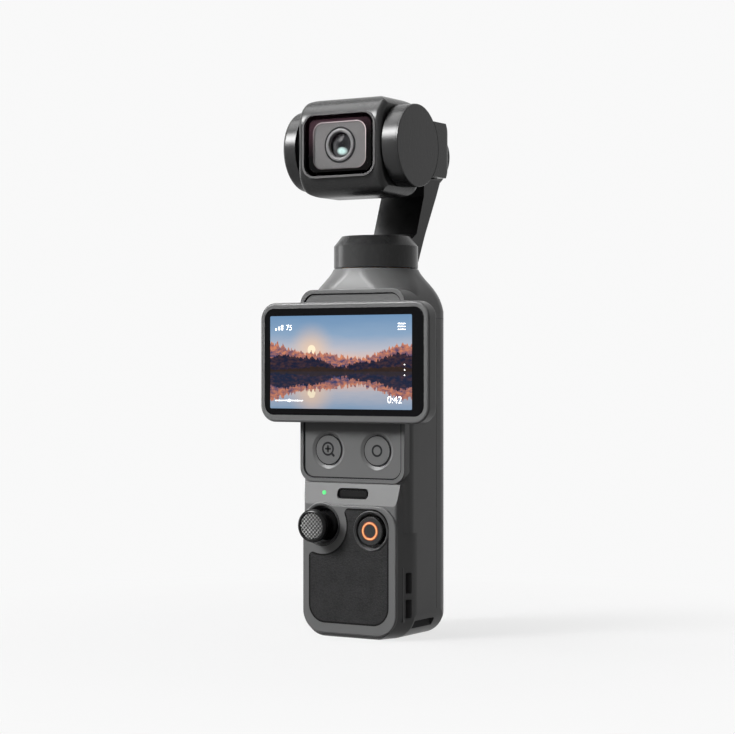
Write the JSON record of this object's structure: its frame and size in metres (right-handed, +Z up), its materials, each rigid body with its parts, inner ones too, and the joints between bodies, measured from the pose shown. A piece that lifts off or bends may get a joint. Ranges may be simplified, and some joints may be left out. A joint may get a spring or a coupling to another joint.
{
  "type": "pocket gimbal camera",
  "caption": "Slim handheld camera with a three-axis stabilised camera head, a turning touch display, a thumb stick, a record button and a leather grip panel.",
  "frame": {"origin": "flat bottom of the handle, under the pan axis", "axes": "+Z up along the handle, -Y towards the side the display and controls face, +X to the right seen from that side"},
  "size_m": [0.0526, 0.0449, 0.1443],
  "materials": {
    "shell_grey": "fine matte dark grey coating over a moulded shell",
    "head_grey": "smooth satin dark grey coating",
    "grip_leather": "fine grained dark grip inlay",
    "black_plastic": "matte black moulding",
    "mask_grey": "matte grey lens surround",
    "lens_ring_grey": "smooth grey ring",
    "frame_metal": "fine polished light grey trim",
    "black_glass": "black cover glass, gloss",
    "window_tint": "dark coated glass, gloss",
    "lens_glass": "coated lens glass",
    "display_light": "display panel, lit",
    "status_green": "green light pipe",
    "ring_orange": "orange inlaid ring",
    "steel": "bright machined steel",
    "magnet_nickel": "nickel plated magnet ring",
    "copper_stator": "copper windings on laminated iron",
    "board_green": "solder masked circuit board",
    "cell_wrap": "wrapped lithium cell",
    "stick_metal": "cast aluminium stick housing"
  },
  "bodies": {
    "handle": {"front_shell": "shell_grey", "rear_cover": "shell_grey", "deck_panel": "shell_grey", "grip_panel": "grip_leather", "speaker_grille": "black_plastic", "status_light": "status_green", "stick_collar": "shell_grey", "record_well": "black_plastic", "control_board": "board_green", "board_screws": "steel", "switch_domes": "steel", "battery_cell": "cell_wrap", "main_board": "board_green", "card_reader": "steel", "speaker": "black_plastic", "port_socket": "steel", "stick_base": "stick_metal", "hinge_plate": "steel", "pan_base": "black_plastic", "pan_stator": "copper_stator", "pan_bearing": "steel"},
    "display": {"display_case": "shell_grey", "display_glass": "black_glass", "display_panel": "display_light", "hinge_hub": "steel", "hinge_clip": "steel", "hinge_screws": "steel"},
    "pan_arm": {"pan_ring": "head_grey", "pan_magnets": "magnet_nickel", "pan_shaft": "steel", "arm_frame": "head_grey", "arm_cover": "head_grey", "roll_stator": "copper_stator", "roll_bearing": "steel"},
    "roll_bracket": {"roll_bracket": "head_grey", "roll_rotor": "head_grey", "roll_magnets": "magnet_nickel", "tilt_housing": "head_grey", "tilt_cap": "head_grey", "tilt_stator": "copper_stator", "tilt_bearing": "steel"},
    "camera_head": {"head_shell": "head_grey", "head_back_cover": "head_grey", "head_side_cap": "head_grey", "tilt_rotor": "steel", "tilt_magnets": "magnet_nickel", "window_frame": "frame_metal", "window_glass": "window_tint", "lens_mask": "mask_grey", "lens_ring": "lens_ring_grey", "lens_barrel": "black_plastic", "lens_elements": "lens_glass", "image_sensor": "board_green"},
    "stick_yoke": {"stick_yoke": "steel"},
    "stick_post": {"stick_post": "steel"},
    "stick_cap": {"stick_cap": "black_plastic"},
    "record_button": {"record_button": "head_grey", "record_ring": "ring_orange"},
    "zoom_button": {"zoom_button": "shell_grey"},
    "custom_button": {"custom_button": "shell_grey"}
  },
  "joints": [
    {"name": "display_turn", "type": "hinge", "parent": "handle", "child": "display", "pos_m": [-0.00325, -0.01295, 0.0704], "axis": [0, 1, 0], "range_deg": [0, 90]},
    {"name": "pan_turn", "type": "hinge", "parent": "handle", "child": "pan_arm", "pos_m": [0, 0, 0.099], "axis": [0, 0, 1], "range_deg": [-235, 58]},
    {"name": "roll_turn", "type": "hinge", "parent": "pan_arm", "child": "roll_bracket", "pos_m": [0, 0.0136, 0.1311], "axis": [0, 1, 0], "range_deg": [-45, 45]},
    {"name": "tilt_turn", "type": "hinge", "parent": "roll_bracket", "child": "camera_head", "pos_m": [0.0125, -0.0076, 0.1311], "axis": [1, 0, 0], "range_deg": [-70, 120]},
    {"name": "stick_lift", "type": "hinge", "parent": "handle", "child": "stick_yoke", "pos_m": [-0.00846, -0.0086, 0.03], "axis": [1, 0, 0], "range_deg": [-12, 12], "stiffness_Nm_per_rad": 0.02},
    {"name": "stick_side", "type": "hinge", "parent": "stick_yoke", "child": "stick_post", "pos_m": [-0.00846, -0.0086, 0.03], "axis": [0, 0, 1], "range_deg": [-12, 12], "stiffness_Nm_per_rad": 0.02},
    {"name": "stick_press", "type": "slide", "parent": "stick_post", "child": "stick_cap", "axis": [0, 1, 0], "range_m": [0, 0.0003], "stiffness_N_per_m": 1000, "springref_m": -0.0003},
    {"name": "record_press", "type": "slide", "parent": "handle", "child": "record_button", "axis": [0, 1, 0], "range_m": [0, 0.0003], "stiffness_N_per_m": 1000, "springref_m": -0.0003},
    {"name": "zoom_press", "type": "slide", "parent": "handle", "child": "zoom_button", "axis": [0, 1, 0], "range_m": [0, 0.0003], "stiffness_N_per_m": 1000, "springref_m": -0.0003},
    {"name": "custom_press", "type": "slide", "parent": "handle", "child": "custom_button", "axis": [0, 1, 0], "range_m": [0, 0.0003], "stiffness_N_per_m": 1000, "springref_m": -0.0003}
  ]
}
